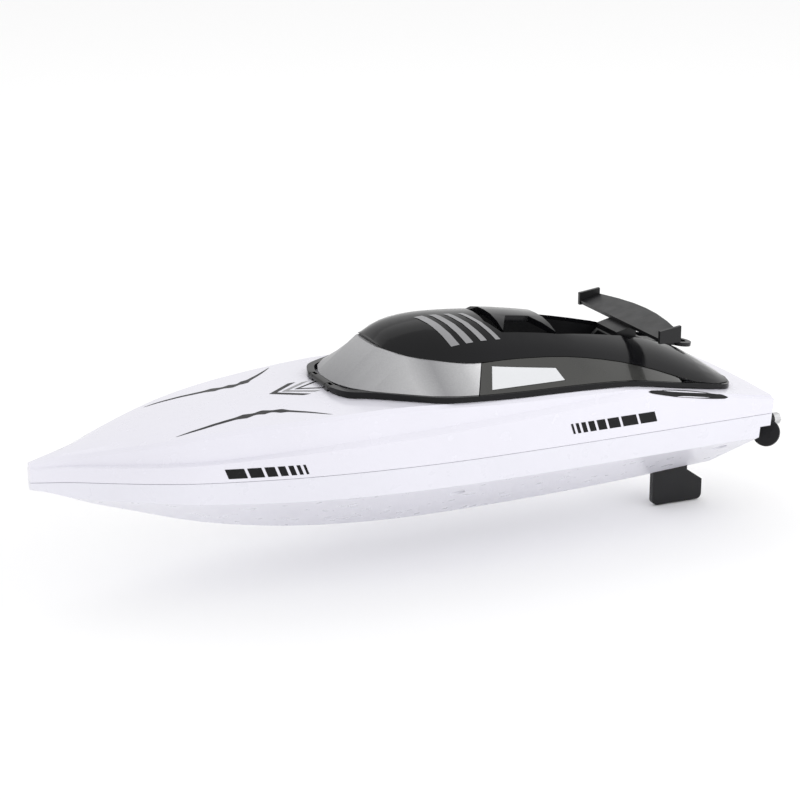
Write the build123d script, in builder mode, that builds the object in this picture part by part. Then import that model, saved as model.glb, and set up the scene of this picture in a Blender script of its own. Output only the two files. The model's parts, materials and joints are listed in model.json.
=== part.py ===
from build123d import *
import math
import os

# Remote-control speedboat: hull, lifting cabin, rear wing and twin-screw drive, in millimetres.
# +X points to the bow, +Y to port and +Z up. The origin is on the centreline, midway between the
# bow and the tips of the propeller nuts, level with the foot of the skeg.

os.makedirs("parts", exist_ok=True)

# ---------------------------------------------------------------------------------------------
# Driving dimensions
# ---------------------------------------------------------------------------------------------
hull_length = 302.0        # bow to transom
half_beam = 43.0           # widest half-breadth at the parting seam
keel_depth = 36.9          # deepest keel below the seam
deck_height = 23.5         # highest deck edge above the seam
hull_wall = 1.8            # shell thickness of hull and deck
deck_crown = 0.9           # rise of the deck from its edge to the centreline
seam_gap = 0.2             # line left between deck and lower hull

skeg_height = 14.2         # fin below the keel
skeg_thickness = 2.6
skeg_front_from_transom = 33.6
skeg_length = 24.1

transom_step_depth = 5.0   # lower transom set forward of the upper one
transom_step_drop = 5.6    # underside of the overhang, below the seam

shaft_offset = 22.0        # each shaft from the centreline
shaft_drop = 8.6           # shaft axis below the seam
shaft_radius = 1.0
shaft_clearance = 0.05     # running fit in bores and bushes
tube_radius = 2.5
propeller_radius = 11.4
blade_chord_radius = 5.8
blade_thickness = 1.1
blade_pitch_deg = 45.0
hub_radius = 3.0
hub_length = 8.6
propeller_gap = 1.2        # from the overhang to the nearest blade
nut_length = 3.2

cabin_wall = 1.6
cabin_gap = 0.3            # between the cabin and the deck it sits on
trim_height = 3.0          # at the front; lower further aft
roof_height = 48.0         # cabin crown above the seam
part_gap = 0.3             # free space between pieces that move past each other
fit_gap = 0.1              # between pieces that are fixed to each other

# ---------------------------------------------------------------------------------------------
# Places worked out from them
# ---------------------------------------------------------------------------------------------
blade_reach = blade_chord_radius * math.sin(math.radians(blade_pitch_deg)) + blade_thickness
propeller_from_transom = propeller_gap + blade_reach
nut_end_from_transom = propeller_from_transom + hub_length / 2 + nut_length
bow_x = (hull_length + nut_end_from_transom) / 2
transom_x = bow_x - hull_length
propeller_x = transom_x - propeller_from_transom
lower_transom_x = transom_x + transom_step_depth


def fair(line, s):
    """Value at station s of the fair curve through the points of a hull line."""
    if s <= line[0][0]:
        return line[0][1]
    if s >= line[-1][0]:
        return line[-1][1]
    i = max(k for k in range(len(line) - 1) if line[k][0] <= s)

    def slope(k):
        lo, hi = max(k - 1, 0), min(k + 1, len(line) - 1)
        return (line[hi][1] - line[lo][1]) / (line[hi][0] - line[lo][0])

    (s0, v0), (s1, v1) = line[i], line[i + 1]
    h = s1 - s0
    t = (s - s0) / h
    return (v0 * (1 + 2 * t) * (1 - t) ** 2 + v1 * t * t * (3 - 2 * t)
            + h * (slope(i) * t * (1 - t) ** 2 - slope(i + 1) * t * t * (1 - t)))


# Hull lines: station as a share of the hull length from the bow, value as a share of the
# dimension that the line is drawn to.
breadth_line = [(0.0, 0.04), (0.045, 0.16), (0.08, 0.29), (0.135, 0.49), (0.19, 0.65),
                (0.29, 0.83), (0.37, 0.92), (0.46, 0.98), (0.55, 1.0), (0.73, 0.972), (1.0, 0.89)]
keel_line = [(0.0, 0.09), (0.03, 0.165), (0.075, 0.315), (0.13, 0.465), (0.205, 0.665),
             (0.275, 0.8), (0.36, 0.912), (0.475, 0.987), (0.6, 1.0), (0.8, 0.955), (1.0, 0.857)]
chine_line = [(0.0, 0.055), (0.05, 0.175), (0.13, 0.215), (0.2, 0.245), (0.4, 0.285), (1.0, 0.28)]
crest_line = [(0.0, 0.28), (0.055, 0.43), (0.1, 0.55), (0.15, 0.665), (0.2, 0.775), (0.25, 0.855),
              (0.3, 0.907), (0.43, 1.0), (0.5, 0.975), (0.6, 0.91), (0.7, 0.876), (0.78, 0.81),
              (0.86, 0.63), (0.94, 0.438), (1.0, 0.315)]
rubbing_line = [(0.0, 0.22), (0.08, 0.255), (0.19, 0.306), (0.29, 0.383), (0.5, 0.511),
                (0.725, 0.651), (0.785, 0.683), (0.83, 0.605), (0.9, 0.468), (1.0, 0.264)]
ledge_line = [(0.0, 0.02), (0.1, 0.038), (0.25, 0.038), (0.4, 0.08), (0.78, 0.085), (0.86, 0.05),
              (1.0, 0.02)]
hull_stations = ([0.0, 0.015, 0.03, 0.045, 0.06, 0.08] + [0.1 + 0.03 * i for i in range(9)]
                 + [0.38 + 0.04 * i for i in range(10)]
                 + [0.77, 0.79, 0.81, 0.84, 0.87, 0.9, 0.93, 0.96, 1.0])

seam_z = keel_depth * fair(keel_line, 1 - skeg_front_from_transom / hull_length) + skeg_height


def station(x):
    """Share of the hull length from the bow at x."""
    return (bow_x - x) / hull_length


def breadth_at(x):
    return half_beam * fair(breadth_line, station(x))


def keel_at(x):
    return seam_z - keel_depth * fair(keel_line, station(x))


def chine_at(x):
    return seam_z - keel_depth * fair(chine_line, station(x))


def crest_at(x):
    return seam_z + deck_height * fair(crest_line, station(x))


chine_inset = 1.5          # chine inside the seam
ridge_out = 0.9            # rubbing ridge outside the seam
groove_in = 0.9            # groove wall inside the seam
crest_in = 2.4             # deck edge inside the seam
plateau_half = 16.5        # half-width of the raised middle of the deck


def cross_plane(x):
    """Plane across the boat at x: its first axis is +Y and its second is +Z."""
    return Plane(origin=(x, 0, 0), x_dir=(0, 1, 0), z_dir=(1, 0, 0))


def side_plane(y):
    """Plane along the boat at y: its first axis is +X and its second is +Z."""
    return Plane(origin=(0, y, 0), x_dir=(1, 0, 0), z_dir=(0, -1, 0))


def closed(half):
    """Close a list of (y, z) points given for the port half, from the outside in."""
    return half + [(-y, z) for y, z in reversed(half) if y > 0] + [half[0]]


def lower_section(x, wall):
    """Outline of the lower hull at x, moved in by a wall."""
    b, zc, zk = breadth_at(x), chine_at(x), keel_at(x)
    return closed([(b - wall, seam_z), (b - chine_inset * min(1, b / 10) - wall, zc + 0.45 * wall),
                   (0, zk + 1.25 * wall)])


def upper_section(x, wall):
    """Outline of the deck moulding at x, moved in by a wall."""
    b, top = breadth_at(x), crest_at(x)
    small = min(1.0, b / 8)
    ridge = seam_z + deck_height * fair(rubbing_line, station(x))
    groove = ridge + deck_height * fair(ledge_line, station(x))
    shoulder = top - min(1.3, 0.45 * (top - groove))
    flat = min(plateau_half, 0.55 * b)
    side = b - groove_in * small - wall
    half = [(b - wall, seam_z), (b + ridge_out * small - wall, ridge), (side, groove), (side, shoulder),
            (b - crest_in * small - wall, top - 0.6 * wall), (flat, top + 0.75 * deck_crown - wall),
            (0, top + deck_crown - wall)]
    if wall > 0:
        half[1] = (side, ridge)
    return closed(half)


def hull_form(section, wall, first):
    """Loft a hull half through its stations from the one numbered first."""
    with BuildPart() as form:
        for s in hull_stations[first:]:
            x = bow_x - s * hull_length
            with BuildSketch(cross_plane(x)):
                with BuildLine():
                    Polyline(*section(x, wall))
                make_face()
        loft(ruled=True)
    return form.part


lower_outside = hull_form(lower_section, 0.0, 0)
lower_inside = hull_form(lower_section, hull_wall, 4)
upper_outside = hull_form(upper_section, 0.0, 0)
upper_inside = hull_form(upper_section, hull_wall, 6)


def block(low, high):
    """Box between two corners, as a tool for cutting or splitting."""
    size = [high[i] - low[i] for i in range(3)]
    centre = [(high[i] + low[i]) / 2 for i in range(3)]
    return Pos(*centre) * Box(*size, mode=Mode.PRIVATE)


def at(share):
    """Place along the boat at a share of the hull length from the bow."""
    return bow_x - share * hull_length


def floor_at(x, y):
    """Height of the inside of the hull bottom at (x, y)."""
    slope = (chine_at(x) - keel_at(x)) / (breadth_at(x) - chine_inset)
    return keel_at(x) + 1.25 * hull_wall + slope * abs(y)


def deck_at(x):
    """Height of the deck on the centreline at x."""
    return crest_at(x) + deck_crown


def rod(start, end, radius):
    """Round bar along X between two x values, at the height and offset held in start."""
    x, y, z = start
    return Pos((x + end) / 2, y, z) * Cylinder(radius, abs(end - x), rotation=(0, 90, 0), mode=Mode.PRIVATE)


def cross_rod(x, z, y_low, y_high, radius):
    """Round bar along Y between two y values."""
    return (Pos(x, (y_low + y_high) / 2, z)
            * Cylinder(radius, y_high - y_low, rotation=(90, 0, 0), mode=Mode.PRIVATE))


def post(x, y, z_low, z_high, radius):
    """Upright round bar."""
    return Pos(x, y, (z_low + z_high) / 2) * Cylinder(radius, z_high - z_low, mode=Mode.PRIVATE)


def side_prism(outline, y_low, y_high):
    """Prism across the boat over an outline of (x, z) points."""
    with BuildPart() as tool:
        with BuildSketch(side_plane(y_high)):
            with BuildLine():
                Polyline(*outline, outline[0])
            make_face()
        extrude(amount=y_high - y_low)
    return tool.part


def plan_prism(half, low, high, grow=0.0):
    """Upright prism over a plan outline given for the port half, made larger all round by grow."""
    ring = half + [(x, -y) for x, y in reversed(half) if y > 0]
    with BuildPart() as tool:
        with BuildSketch(Plane.XY.offset(low)):
            with BuildLine():
                Polyline(*ring, ring[0])
            make_face()
            if grow != 0:
                offset(amount=grow, kind=Kind.INTERSECTION, mode=Mode.REPLACE)
        extrude(amount=high - low)
    return tool.part


far = 400.0                # reach of a cutting tool past the boat

# ---------------------------------------------------------------------------------------------
# Lower hull, with screw posts, shaft holes and holes for the water contacts
# ---------------------------------------------------------------------------------------------
shaft_z = seam_z - shaft_drop
screw_x = [transom_x + 19.5, transom_x + 139.0]
screw_y = 30.0
post_radius = 4.2
screw_head_radius = 2.7
screw_head_height = 1.6
screw_shank_radius = 1.2
screw_recess_radius = 3.1
screw_recess = 3.4         # head sunk this far from the hull bottom
screw_top_z = seam_z + 7.0
contact_y = 8.0
contact_z = seam_z - 15.0
contact_radius = 1.2
screw_places = [(x, y) for x in screw_x for y in (-screw_y, screw_y)]


def bottom_at(x, y):
    """Height of the outside of the hull bottom at (x, y)."""
    return floor_at(x, y) - 1.25 * hull_wall


lower_void = lower_inside - block((-far, -far, -far), (lower_transom_x + hull_wall, far, far))
for x, y in screw_places:
    lower_void = lower_void - post(x, y, 0, far, post_radius)

with BuildPart() as lower_hull:
    add(lower_outside)
    add(lower_void, mode=Mode.SUBTRACT)
    add(block((transom_x - 1, -far, seam_z - seam_gap), (far, far, seam_z + far)), mode=Mode.SUBTRACT)
    add(block((-far, -far, -far), (lower_transom_x, far, seam_z - transom_step_drop)), mode=Mode.SUBTRACT)
    for side in (-1, 1):
        add(rod((lower_transom_x - 9, side * shaft_offset, shaft_z), lower_transom_x + 9, tube_radius),
            mode=Mode.SUBTRACT)
        add(rod((lower_transom_x - 9, side * contact_y, contact_z), lower_transom_x + 9, contact_radius),
            mode=Mode.SUBTRACT)
    for x, y in screw_places:
        add(post(x, y, -5, bottom_at(x, y) + screw_recess, screw_recess_radius), mode=Mode.SUBTRACT)
        add(post(x, y, 0, far, screw_shank_radius + part_gap / 2), mode=Mode.SUBTRACT)
lower_hull.part.label = "lower_hull"
export_step(lower_hull.part, "parts/lower_hull.step")

# ---------------------------------------------------------------------------------------------
# Deck, with hatch coaming and screw posts, and the two lugs of the cabin hinge
# ---------------------------------------------------------------------------------------------
hatch_rear_x = transom_x + 92.0
hatch_front_x = transom_x + 150.0
hatch_half = 20.0
hatch_corner = 5.0
coaming_wall = 1.6
hatch_length = hatch_front_x - hatch_rear_x
hatch_centre = (hatch_front_x + hatch_rear_x) / 2
coaming_low = deck_at(hatch_rear_x) - hull_wall
coaming_top = deck_at(hatch_front_x) + 0.9

cabin_front = 0.3854       # front of the cabin, as a share of the hull length from the bow
hinge_radius = 1.05        # rounded nose of the trim, about the hinge pin
hinge_pin_radius = 0.5
hinge_y = 8.0
hinge_lug = 3.0
hinge_x = at(cabin_front) - hinge_radius
hinge_z = deck_at(hinge_x) + cabin_gap + hinge_radius


def rounded_block(length, width, corner, low, high):
    """Upright prism with rounded corners, centred on the hatch."""
    with BuildPart() as tool:
        with BuildSketch(Plane.XY.offset(low)):
            with Locations((hatch_centre, 0)):
                RectangleRounded(length, width, corner)
        extrude(amount=high - low)
    return tool.part


deck_void = upper_inside - block((-far, -far, -far), (transom_x + hull_wall, far, far))
for x, y in screw_places:
    deck_void = deck_void - post(x, y, 0, far, post_radius - 0.6)

with BuildPart() as upper_deck:
    add(upper_outside)
    add(deck_void, mode=Mode.SUBTRACT)
    add(rounded_block(hatch_length + 2 * coaming_wall, 2 * (hatch_half + coaming_wall), hatch_corner,
                      coaming_low, coaming_top))
    add(rounded_block(hatch_length, 2 * hatch_half, hatch_corner - coaming_wall, 0, far), mode=Mode.SUBTRACT)
    for x, y in screw_places:
        add(post(x, y, 0, screw_top_z + part_gap, screw_shank_radius), mode=Mode.SUBTRACT)
upper_deck.part.label = "upper_deck"
export_step(upper_deck.part, "parts/upper_deck.step")

with BuildPart() as hinge_lugs:
    for side in (-1, 1):
        low, high = sorted((side * (hinge_y - hinge_lug / 2), side * (hinge_y + hinge_lug / 2)))
        add(cross_rod(hinge_x, hinge_z, low, high, hinge_radius - 0.05))
        add(block((hinge_x - hinge_radius + 0.1, low, hinge_z - 3),
                  (hinge_x + hinge_radius - 0.1, high, hinge_z)))
        add(cross_rod(hinge_x, hinge_z, low - 1, high + 1, hinge_pin_radius + shaft_clearance),
            mode=Mode.SUBTRACT)
    add(upper_outside, mode=Mode.SUBTRACT)
hinge_lugs.part.label = "hinge_lugs"
export_step(hinge_lugs.part, "parts/hinge_lugs.step")

# ---------------------------------------------------------------------------------------------
# Seal in the seam, and the four screws that close the hull from below
# ---------------------------------------------------------------------------------------------
seal_inset = hull_wall + 0.7
seal_width = 1.4
seal_height = 2.0
seal_rear_x = lower_transom_x + hull_wall + 0.5


def hull_plan(first, last_x, grow):
    """Plan outline of the hull at the seam from one station aft to last_x, port half."""
    xs = [bow_x - s * hull_length for s in hull_stations[first:-1]] + [last_x]
    return [(x, breadth_at(x) + grow) for x in xs]


with BuildPart() as hull_seal:
    add(plan_prism(hull_plan(7, seal_rear_x, -seal_inset),
                   seam_z - seal_height / 2, seam_z + seal_height / 2))
    add(plan_prism(hull_plan(8, seal_rear_x + seal_width, -seal_inset - seal_width), 0, far),
        mode=Mode.SUBTRACT)
hull_seal.part.label = "hull_seal"
export_step(hull_seal.part, "parts/hull_seal.step")

with BuildPart() as hull_screws:
    for x, y in screw_places:
        head = bottom_at(x, y) + screw_recess
        add(post(x, y, head - 0.1 - screw_head_height, head - 0.1, screw_head_radius))
        add(post(x, y, head - 0.2, screw_top_z, screw_shank_radius))
        add(block((x - 1.8, y - 0.3, head - 2.2), (x + 1.8, y + 0.3, head - 1.1)), mode=Mode.SUBTRACT)
        add(block((x - 0.3, y - 1.8, head - 2.2), (x + 0.3, y + 1.8, head - 1.1)), mode=Mode.SUBTRACT)
hull_screws.part.label = "hull_screws"
export_step(hull_screws.part, "parts/hull_screws.step")

# ---------------------------------------------------------------------------------------------
# Skeg under the keel
# ---------------------------------------------------------------------------------------------
skeg_rear_x = transom_x + skeg_front_from_transom - skeg_length
skeg_front_x = transom_x + skeg_front_from_transom
skeg_corner = 2.6
skeg_chamfer = 7.5

with BuildPart() as skeg_fin:
    with BuildSketch(side_plane(skeg_thickness / 2)):
        with BuildLine():
            Polyline((skeg_front_x, skeg_height + 4), (skeg_front_x, 0), (skeg_rear_x, 0),
                     (skeg_rear_x, skeg_height - 0.7 * skeg_chamfer),
                     (skeg_rear_x + skeg_chamfer, skeg_height),
                     (skeg_rear_x + skeg_chamfer, skeg_height + 4), (skeg_front_x, skeg_height + 4))
        make_face()
    extrude(amount=skeg_thickness)
    fillet(skeg_fin.edges().filter_by(Axis.Y).group_by(Axis.Z)[0], skeg_corner)
    add(lower_outside, mode=Mode.SUBTRACT)
skeg_fin.part.label = "skeg_fin"
export_step(skeg_fin.part, "parts/skeg_fin.step")

# ---------------------------------------------------------------------------------------------
# Drive on each side: tube, shaft, propeller, nut, coupler and motor
# ---------------------------------------------------------------------------------------------
tube_front_x = transom_x + 26.0
coupler_rear_x = transom_x + 29.0
coupler_length = 12.0
motor_rear_x = transom_x + 45.0
motor_length = 26.0
motor_radius = 8.0
motor_wall = 1.0
blade_centre = propeller_radius - blade_chord_radius
blade_rest_deg = -57.0     # first blade below the outboard side

for side, word in ((1, "left"), (-1, "right")):
    y = side * shaft_offset

    with BuildPart() as shaft_tube:
        add(rod((lower_transom_x - 3, y, shaft_z), tube_front_x, tube_radius))
        add(rod((lower_transom_x - 6, y, shaft_z), tube_front_x + 3, shaft_radius + shaft_clearance),
            mode=Mode.SUBTRACT)
    shaft_tube.part.label = f"shaft_tube_{word}"
    export_step(shaft_tube.part, f"parts/shaft_tube_{word}.step")

    with BuildPart() as propeller_shaft:
        add(rod((propeller_x - hub_length / 2 - nut_length + 0.4, y, shaft_z),
                coupler_rear_x + 5, shaft_radius))
    propeller_shaft.part.label = f"propeller_shaft_{word}"
    export_step(propeller_shaft.part, f"parts/propeller_shaft_{word}.step")

    with BuildPart() as propeller:
        add(rod((propeller_x - hub_length / 2, y, shaft_z), propeller_x + hub_length / 2, hub_radius))
        fillet(propeller.edges().filter_by(GeomType.CIRCLE), 0.5)
        for turn in (0.0, 180.0):
            a = math.radians(blade_rest_deg + turn)
            tilt = math.radians(blade_pitch_deg)
            out = (0, side * math.cos(a), math.sin(a))
            facing = (math.cos(tilt), -side * math.sin(tilt) * math.sin(a), math.sin(tilt) * math.cos(a))
            centre = [p + blade_centre * q for p, q in zip((propeller_x, y, shaft_z), out)]
            with BuildSketch(Plane(origin=centre, x_dir=out, z_dir=facing)):
                Circle(blade_chord_radius)
            extrude(amount=blade_thickness / 2, both=True)
        add(rod((propeller_x - hub_length, y, shaft_z), propeller_x + hub_length, shaft_radius),
            mode=Mode.SUBTRACT)
    propeller.part.label = f"propeller_{word}"
    export_step(propeller.part, f"parts/propeller_{word}.step")

    nut_front_x = propeller_x - hub_length / 2
    with BuildPart() as propeller_nut:
        with BuildSketch(cross_plane(nut_front_x - nut_length)):
            with Locations((y, shaft_z)):
                RegularPolygon(2.5, 6)
        extrude(amount=nut_length - 0.05)
        add(rod((nut_front_x - nut_length + 0.4, y, shaft_z), nut_front_x + 1, shaft_radius),
            mode=Mode.SUBTRACT)
    propeller_nut.part.label = f"propeller_nut_{word}"
    export_step(propeller_nut.part, f"parts/propeller_nut_{word}.step")

    with BuildPart() as shaft_coupler:
        add(rod((coupler_rear_x, y, shaft_z), coupler_rear_x + coupler_length, 3.0))
        add(rod((coupler_rear_x - 1, y, shaft_z), coupler_rear_x + coupler_length + 1, shaft_radius),
            mode=Mode.SUBTRACT)
    shaft_coupler.part.label = f"shaft_coupler_{word}"
    export_step(shaft_coupler.part, f"parts/shaft_coupler_{word}.step")

    front_x = motor_rear_x + motor_length
    with BuildPart() as motor_can:
        add(rod((motor_rear_x, y, shaft_z), front_x, motor_radius))
        add(rod((motor_rear_x + 1.5, y, shaft_z), front_x - 1.5, motor_radius - motor_wall),
            mode=Mode.SUBTRACT)
        add(rod((motor_rear_x - 1, y, shaft_z), motor_rear_x + 3, shaft_radius + shaft_clearance),
            mode=Mode.SUBTRACT)
        add(rod((front_x - 3, y, shaft_z), front_x + 1, shaft_radius + shaft_clearance), mode=Mode.SUBTRACT)
    motor_can.part.label = f"motor_can_{word}"
    export_step(motor_can.part, f"parts/motor_can_{word}.step")

    with BuildPart() as motor_rotor:
        add(rod((coupler_rear_x + 6, y, shaft_z), front_x - 0.4, shaft_radius))
        add(rod((motor_rear_x + 3, y, shaft_z), front_x - 3, motor_radius - motor_wall - 0.8))
    motor_rotor.part.label = f"motor_rotor_{word}"
    export_step(motor_rotor.part, f"parts/motor_rotor_{word}.step")

plate_rear_x = motor_rear_x - 2.2
with BuildPart() as motor_mount:
    with BuildSketch(cross_plane(plate_rear_x)):
        with BuildLine():
            low = [(y, floor_at(plate_rear_x, y) + 0.6) for y in (31.0, 4.0)]
            Polyline(*closed([(31.0, seam_z - 1.5)] + low))
        make_face()
    extrude(amount=2.0)
    for side in (-1, 1):
        add(rod((plate_rear_x - 1, side * shaft_offset, shaft_z), plate_rear_x + 4, shaft_radius + 0.5),
            mode=Mode.SUBTRACT)
motor_mount.part.label = "motor_mount"
export_step(motor_mount.part, "parts/motor_mount.step")

# ---------------------------------------------------------------------------------------------
# Battery, tray, receiver board, water contacts and power switch
# ---------------------------------------------------------------------------------------------
tray_rear_x, tray_front_x = transom_x + 84.0, transom_x + 146.0
tray_half = 15.5
tray_wall = 1.4
tray_floor_z = floor_at(tray_rear_x, tray_half) + 1.2
tray_side = 9.0
battery_height = 17.0

with BuildPart() as battery_tray:
    add(block((tray_rear_x, -tray_half, tray_floor_z - tray_wall),
              (tray_front_x, tray_half, tray_floor_z + tray_side)))
    add(block((tray_rear_x + tray_wall, -tray_half + tray_wall, tray_floor_z),
              (tray_front_x - tray_wall, tray_half - tray_wall, far)), mode=Mode.SUBTRACT)
    rib_low = max(floor_at(tray_rear_x, 1.5), floor_at(tray_front_x, 1.5)) + 0.4
    add(block((tray_rear_x + 4, -1.5, rib_low), (tray_front_x - 4, 1.5, tray_floor_z)))
battery_tray.part.label = "battery_tray"
export_step(battery_tray.part, "parts/battery_tray.step")

with BuildPart() as battery_pack:
    add(block((tray_rear_x + tray_wall + part_gap, -tray_half + tray_wall + part_gap, tray_floor_z + fit_gap),
              (tray_front_x - tray_wall - part_gap, tray_half - tray_wall - part_gap,
               tray_floor_z + battery_height)))
    fillet(battery_pack.edges().filter_by(Axis.X), 3.0)
battery_pack.part.label = "battery_pack"
export_step(battery_pack.part, "parts/battery_pack.step")

board_rear_x, board_front_x = tray_front_x + 6, tray_front_x + 40
board_half = 14.0
board_z = floor_at(board_front_x, board_half) + 3.0
with BuildPart() as receiver_board:
    add(block((board_rear_x, -board_half, board_z), (board_front_x, board_half, board_z + 1.6)))
    add(block((board_rear_x + 5, -6, board_z + 1.4), (board_rear_x + 15, 6, board_z + 4.4)))
    for y in (-10.0, 10.0):
        add(post(board_front_x - 7, y, board_z + 1.4, board_z + 8, 3.0))
        add(post(board_rear_x + 4, y, floor_at(board_rear_x + 4, 12.0) + 0.3, board_z + 1, 1.8))
        add(post(board_front_x - 4, y, floor_at(board_front_x - 4, 12.0) + 0.3, board_z + 1, 1.8))
receiver_board.part.label = "receiver_board"
export_step(receiver_board.part, "parts/receiver_board.step")

with BuildPart() as water_contacts:
    for side in (-1, 1):
        add(rod((lower_transom_x - 1.2, side * contact_y, contact_z), lower_transom_x - 0.05, 2.2))
        add(rod((lower_transom_x - 0.4, side * contact_y, contact_z), lower_transom_x + 6, contact_radius))
water_contacts.part.label = "water_contacts"
export_step(water_contacts.part, "parts/water_contacts.step")

switch_x = at(0.44)
switch_half = 7.0
switch_width = 5.0
switch_travel = 2.0
switch_z = deck_at(switch_x) + 3.2
knob_half = 1.5
with BuildPart() as switch_housing:
    add(block((switch_x - switch_width, -switch_half, switch_z - 4.5),
              (switch_x + switch_width, switch_half, switch_z)))
    add(block((switch_x - 1.6, -switch_travel - knob_half - part_gap, switch_z - 1.8),
              (switch_x + 1.6, switch_travel + knob_half + part_gap, switch_z + 1)), mode=Mode.SUBTRACT)
    add(upper_outside, mode=Mode.SUBTRACT)
switch_housing.part.label = "switch_housing"
export_step(switch_housing.part, "parts/switch_housing.step")

with BuildPart() as switch_slider:
    add(block((switch_x - 1.6 + part_gap, -switch_travel - knob_half, switch_z - 1.8 + part_gap),
              (switch_x + 1.6 - part_gap, -switch_travel + knob_half, switch_z + 1.6)))
switch_slider.part.label = "switch_slider"
export_step(switch_slider.part, "parts/switch_slider.step")

# ---------------------------------------------------------------------------------------------
# Hatch: gasket, cover and two quarter-turn catches
# ---------------------------------------------------------------------------------------------
gasket_height = 0.7
cover_thickness = 1.4
cover_low = coaming_top + gasket_height
cover_top = cover_low + cover_thickness
catch_radius = 1.5
catch_inset = 5.0
catch_reach = 8.5

with BuildPart() as hatch_gasket:
    add(rounded_block(hatch_length + 1.2 * coaming_wall, 2 * hatch_half + 1.2 * coaming_wall, 4.4,
                      coaming_top, cover_low))
    add(rounded_block(hatch_length + 0.3, 2 * hatch_half + 0.3, 3.6, 0, far), mode=Mode.SUBTRACT)
hatch_gasket.part.label = "hatch_gasket"
export_step(hatch_gasket.part, "parts/hatch_gasket.step")

with BuildPart() as hatch_cover:
    add(rounded_block(hatch_length + 2 * coaming_wall, 2 * (hatch_half + coaming_wall), hatch_corner,
                      cover_low, cover_top))
    add(rounded_block(hatch_length - 1, 2 * hatch_half - 1, 3.0, coaming_top - 0.8, cover_low))
    for x in (hatch_front_x - catch_inset, hatch_rear_x + catch_inset):
        add(post(x, 0, 0, far, catch_radius + shaft_clearance), mode=Mode.SUBTRACT)
hatch_cover.part.label = "hatch_cover"
export_step(hatch_cover.part, "parts/hatch_cover.step")

for x, away, word in ((hatch_front_x - catch_inset, 1, "front"), (hatch_rear_x + catch_inset, -1, "rear")):
    with BuildPart() as hatch_catch:
        add(post(x, 0, coaming_low - 1.9, cover_top + 0.5, catch_radius))
        add(post(x, 0, cover_top + part_gap, cover_top + part_gap + 0.9, 3.2))
        foot_x = sorted((x, x + away * catch_reach))
        add(block((foot_x[0], -1.5, coaming_low - 1.9), (foot_x[1], 1.5, coaming_low - 0.5)))
    hatch_catch.part.label = f"hatch_catch_{word}"
    export_step(hatch_catch.part, f"parts/hatch_catch_{word}.step")

# ---------------------------------------------------------------------------------------------
# Cabin lines: half-breadths as shares of the half-beam, heights as shares of the roof height
# ---------------------------------------------------------------------------------------------
cabin_rear = 0.964
trim_width = 3.0
glass_inset = 0.9          # foot of the glass inside the trim
frame_front = 0.5535       # foot of the pillar between windscreen and side frame
pillar_rake = 0.023        # top of the pillar further aft than its foot
rake_fade = 0.1            # distance aft over which the rake dies out
frame_rear = 0.862
trim_line = [(0.3854, 0.25), (0.3925, 0.41), (0.401, 0.505), (0.418, 0.585), (0.434, 0.655), (0.4548, 0.758),
             (0.472, 0.825), (0.497, 0.915), (0.52, 0.962), (0.58, 0.955), (0.7, 0.92), (0.78, 0.882),
             (0.86, 0.838), (0.93, 0.755), (0.95, 0.66), (0.964, 0.42)]
trim_height_line = [(0.3854, 1.0), (0.42, 0.95), (0.5, 0.75), (1.0, 0.72)]
belt_line = [(0.455, 0.2326), (0.4652, 0.337), (0.4844, 0.465), (0.5132, 0.535), (0.5364, 0.581),
             (0.5662, 0.632), (0.59, 0.65), (0.63, 0.652), (0.7, 0.652), (0.78, 0.662), (0.84, 0.7),
             (0.887, 0.765), (0.93, 0.73), (0.952, 0.62)]
belt_height = [(0.455, 0.842), (0.4652, 0.81), (0.4844, 0.777), (0.5132, 0.743), (0.5364, 0.718),
               (0.5662, 0.698), (0.6, 0.703), (0.63, 0.7), (0.7, 0.665), (0.78, 0.565), (0.84, 0.445),
               (0.887, 0.33), (0.952, 0.2)]
crown_line = [(0.455, 0.862), (0.468, 0.92), (0.487, 0.965), (0.51, 0.992), (0.54, 1.0), (0.6, 0.975),
              (0.64, 0.947), (0.7, 0.88), (0.79, 0.745), (0.86, 0.61), (0.91, 0.475), (0.94, 0.36),
              (0.952, 0.31)]
roof_stations = ([0.455, 0.46, 0.4652, 0.474, 0.4844, 0.498, 0.5132, 0.525, 0.5364, 0.55, 0.5662]
                 + [0.59 + 0.027 * i for i in range(10)] + [0.86, 0.887, 0.91, 0.93, 0.942, 0.952])
dome_points = [1.0, 0.93, 0.81, 0.64, 0.44, 0.22, 0.0]
dome_power = 2.4
# Foot and top of the windscreen at matching places, from the centreline to the side frame
screen_foot = [(0.3954, 0.0), (0.396, 0.128), (0.3993, 0.2465), (0.4079, 0.409), (0.4255, 0.58),
               (0.4579, 0.745), (0.4934, 0.872), (0.5248, 0.93), (0.553, 0.936)]
screen_top = [(0.4505, 0.0), (0.4508, 0.116), (0.4525, 0.226), (0.4652, 0.337), (0.4844, 0.465),
              (0.5132, 0.535), (0.5364, 0.581), (0.555, 0.613), (0.576, 0.64)]
screen_front_height = 0.825


def trim_top_at(x):
    return crest_at(x) + cabin_gap + trim_height * fair(trim_height_line, station(x))


def belt_at(x):
    """Height of the lower edge of the roof, never below the trim."""
    return max(seam_z + roof_height * fair(belt_height, station(x)), trim_top_at(x) + 0.35)


def slab_section(x):
    """Outline across the deck at x of a layer as thick as the trim, resting just above the deck."""
    low = crest_at(x) + cabin_gap
    flat = min(plateau_half, 0.55 * breadth_at(x))
    return closed([(half_beam + 4, trim_top_at(x)), (half_beam + 4, low), (breadth_at(x) - crest_in, low),
                   (flat, low + 0.75 * deck_crown), (0, low + deck_crown)])


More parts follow.
